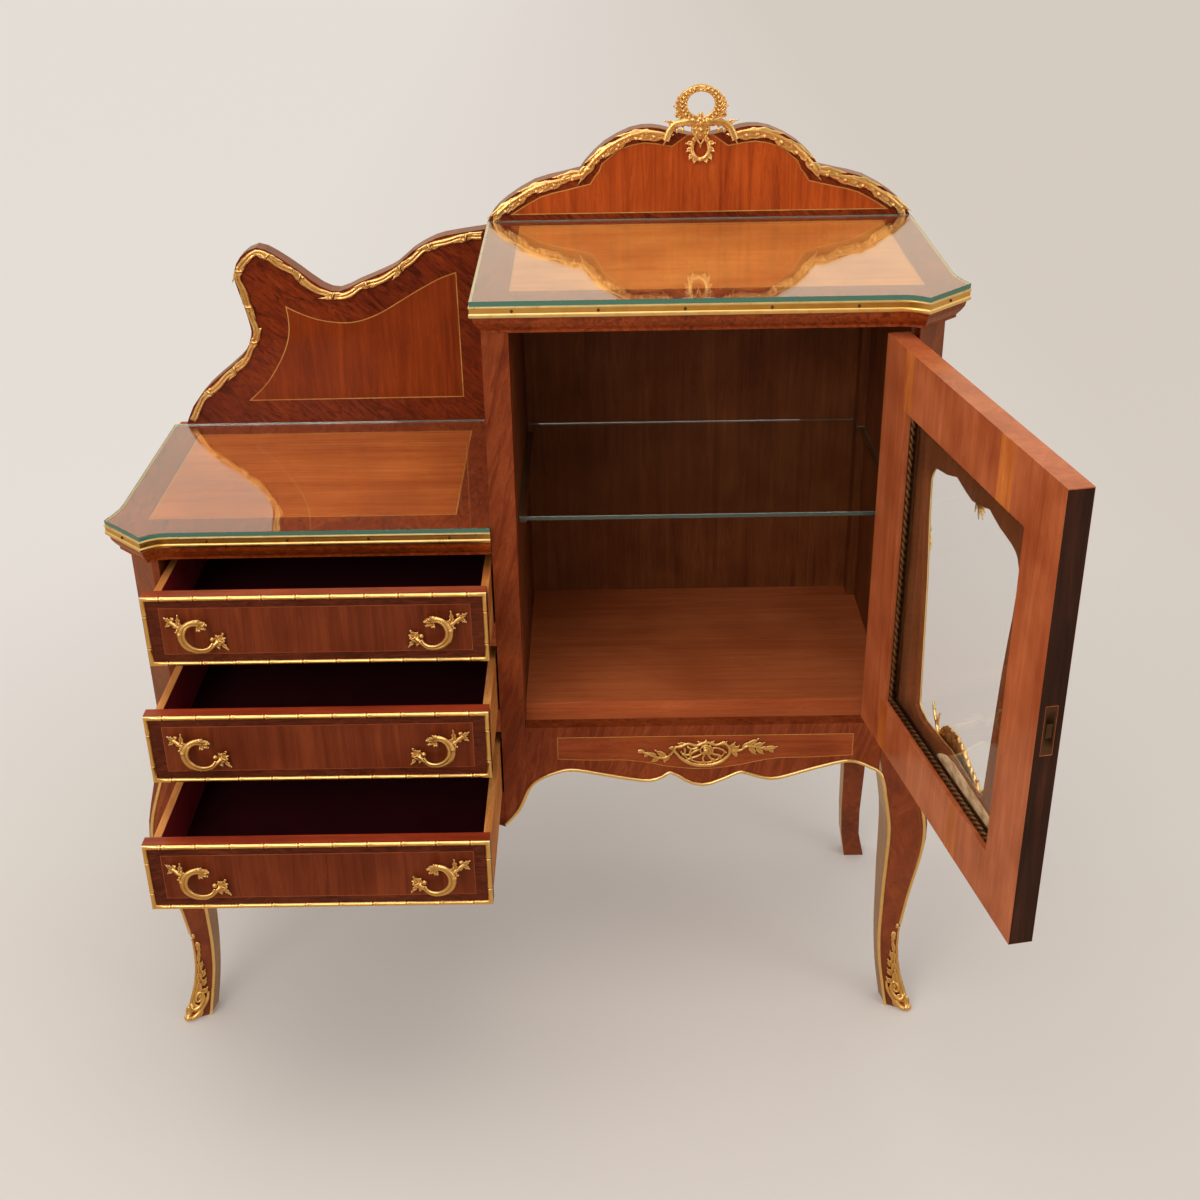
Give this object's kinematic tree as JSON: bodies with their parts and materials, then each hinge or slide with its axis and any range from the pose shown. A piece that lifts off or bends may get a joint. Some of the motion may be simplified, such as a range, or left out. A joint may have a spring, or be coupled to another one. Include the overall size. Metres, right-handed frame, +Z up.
{
  "type": "display chest",
  "caption": "Low case of drawers joined to a taller cabinet with a hinged glazed door, both with glass-covered tops and shaped backboards, on cabriole legs.",
  "frame": {"origin": "centre of the bounding box's footprint, on the floor, with the door and drawers open as stored", "axes": "+Z up, +Y towards the back, +X towards the tall cabinet's side"},
  "size_m": [1.1618, 0.914, 1.3415],
  "materials": {
    "rosewood": "figured red-brown veneer, french polished",
    "mahogany": "plain red-brown mahogany, satin polish",
    "dark_wood": "dark stained, satin",
    "beech": "planed pale drawer wood, wax",
    "lined_board": "thin board with a burgundy lining",
    "gilt_brass": "cast and gilt, burnished on the high places",
    "aged_brass": "aged, dull",
    "glass": "clear float glass, polished green edges"
  },
  "bodies": {
    "carcase": {"apron_mount": "gilt_brass", "backboard_gilt_border": "gilt_brass", "cabinet_back_panel": "dark_wood", "cabinet_floor": "mahogany", "crest_board": "rosewood", "crest_gilt_border": "gilt_brass", "crest_wreath_mount": "gilt_brass", "drawer_case_back": "dark_wood", "drawer_case_bottom": "rosewood", "drawer_divider_lower": "mahogany", "drawer_divider_upper": "mahogany", "front_apron": "rosewood", "front_left_leg": "rosewood", "front_right_leg": "rosewood", "glass_shelf": "glass", "hinge_lower_post_leaf": "gilt_brass", "hinge_upper_post_leaf": "gilt_brass", "left_side_panel": "rosewood", "low_backboard": "rosewood", "low_top_brass_edge": "gilt_brass", "low_top_glass": "glass", "low_top_panel": "rosewood", "partition_panel": "rosewood", "rear_left_leg": "rosewood", "rear_right_leg": "rosewood", "right_side_panel": "rosewood", "sabot_left": "gilt_brass", "sabot_right": "gilt_brass", "shelf_rest_left": "dark_wood", "shelf_rest_right": "dark_wood", "tall_top_brass_edge": "gilt_brass", "tall_top_glass": "glass", "tall_top_panel": "rosewood"},
    "door": {"door_frame": "mahogany", "door_shaped_face": "rosewood", "door_glass": "glass", "door_rope_bead": "aged_brass", "door_shell_mount": "gilt_brass", "hinge_upper_door_leaf": "gilt_brass", "hinge_lower_door_leaf": "gilt_brass", "door_lock": "aged_brass"},
    "bolt": {"lock_bolt": "gilt_brass"},
    "drawer_1": {"drawer_1_bottom": "lined_board", "drawer_1_box": "beech", "drawer_1_brass_border": "gilt_brass", "drawer_1_front": "rosewood", "drawer_1_handle_left": "gilt_brass", "drawer_1_handle_right": "gilt_brass"},
    "drawer_2": {"drawer_2_bottom": "lined_board", "drawer_2_box": "beech", "drawer_2_brass_border": "gilt_brass", "drawer_2_front": "rosewood", "drawer_2_handle_left": "gilt_brass", "drawer_2_handle_right": "gilt_brass"},
    "drawer_3": {"drawer_3_bottom": "lined_board", "drawer_3_box": "beech", "drawer_3_brass_border": "gilt_brass", "drawer_3_front": "rosewood", "drawer_3_handle_left": "gilt_brass", "drawer_3_handle_right": "gilt_brass"}
  },
  "joints": [
    {"name": "door_hinge", "type": "hinge", "parent": "carcase", "child": "door", "pos_m": [0.4915, 0.05048, 0.8125], "axis": [0, 0, 1], "range_deg": [-100.6, 14.4]},
    {"name": "bolt_slide", "type": "slide", "parent": "door", "child": "bolt", "axis": [0.184, -0.9829, 0], "range_m": [0, 0.008]},
    {"name": "drawer_1_slide", "type": "slide", "parent": "carcase", "child": "drawer_1", "axis": [0, -1, 0], "range_m": [-0.106, 0.194]},
    {"name": "drawer_2_slide", "type": "slide", "parent": "carcase", "child": "drawer_2", "axis": [0, -1, 0], "range_m": [-0.171, 0.129]},
    {"name": "drawer_3_slide", "type": "slide", "parent": "carcase", "child": "drawer_3", "axis": [0, -1, 0], "range_m": [-0.259, 0.041]}
  ]
}
